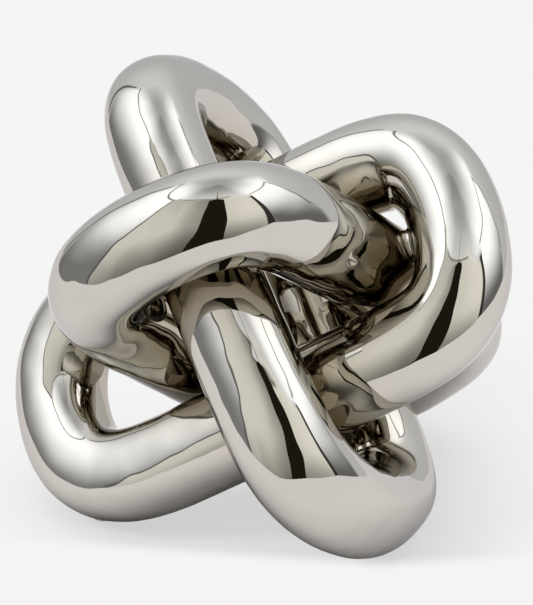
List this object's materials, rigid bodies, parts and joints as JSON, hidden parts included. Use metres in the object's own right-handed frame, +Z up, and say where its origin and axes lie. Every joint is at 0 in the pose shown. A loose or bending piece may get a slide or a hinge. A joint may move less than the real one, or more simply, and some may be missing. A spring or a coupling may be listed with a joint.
{
  "type": "ceramic chain sculpture",
  "caption": "Tabletop ornament of fat tubular oval chain links, each threaded through the next, mirror plated, standing on its lower lobes.",
  "frame": {"origin": "on the table under the middle of the sculpture's box", "axes": "+Z up, -Y towards the front of the sculpture, +X to its right as seen from the front"},
  "size_m": [0.2137, 0.2056, 0.192],
  "materials": {
    "plated_glaze": "mirror-bright warm nickel tone plating over smooth glaze",
    "luting_slip": "slip seam under the same bright plating",
    "felt": "grey pressed felt"
  },
  "bodies": {
    "root": {"back_link_upper_half": "plated_glaze", "back_link_lower_half": "plated_glaze", "back_link_left_seam": "luting_slip", "back_link_right_seam": "luting_slip", "back_link_felt_dot": "felt", "left_link_upper_half": "plated_glaze", "left_link_lower_half": "plated_glaze", "left_link_left_seam": "luting_slip", "left_link_right_seam": "luting_slip", "left_link_felt_dot": "felt", "right_link_upper_half": "plated_glaze", "right_link_lower_half": "plated_glaze", "right_link_left_seam": "luting_slip", "right_link_right_seam": "luting_slip", "right_link_felt_dot": "felt", "slip_bond_back_left_1": "luting_slip", "slip_bond_back_left_2": "luting_slip", "slip_bond_left_right_1": "luting_slip", "slip_bond_right_back_1": "luting_slip", "slip_bond_right_back_2": "luting_slip"}
  },
  "joints": []
}
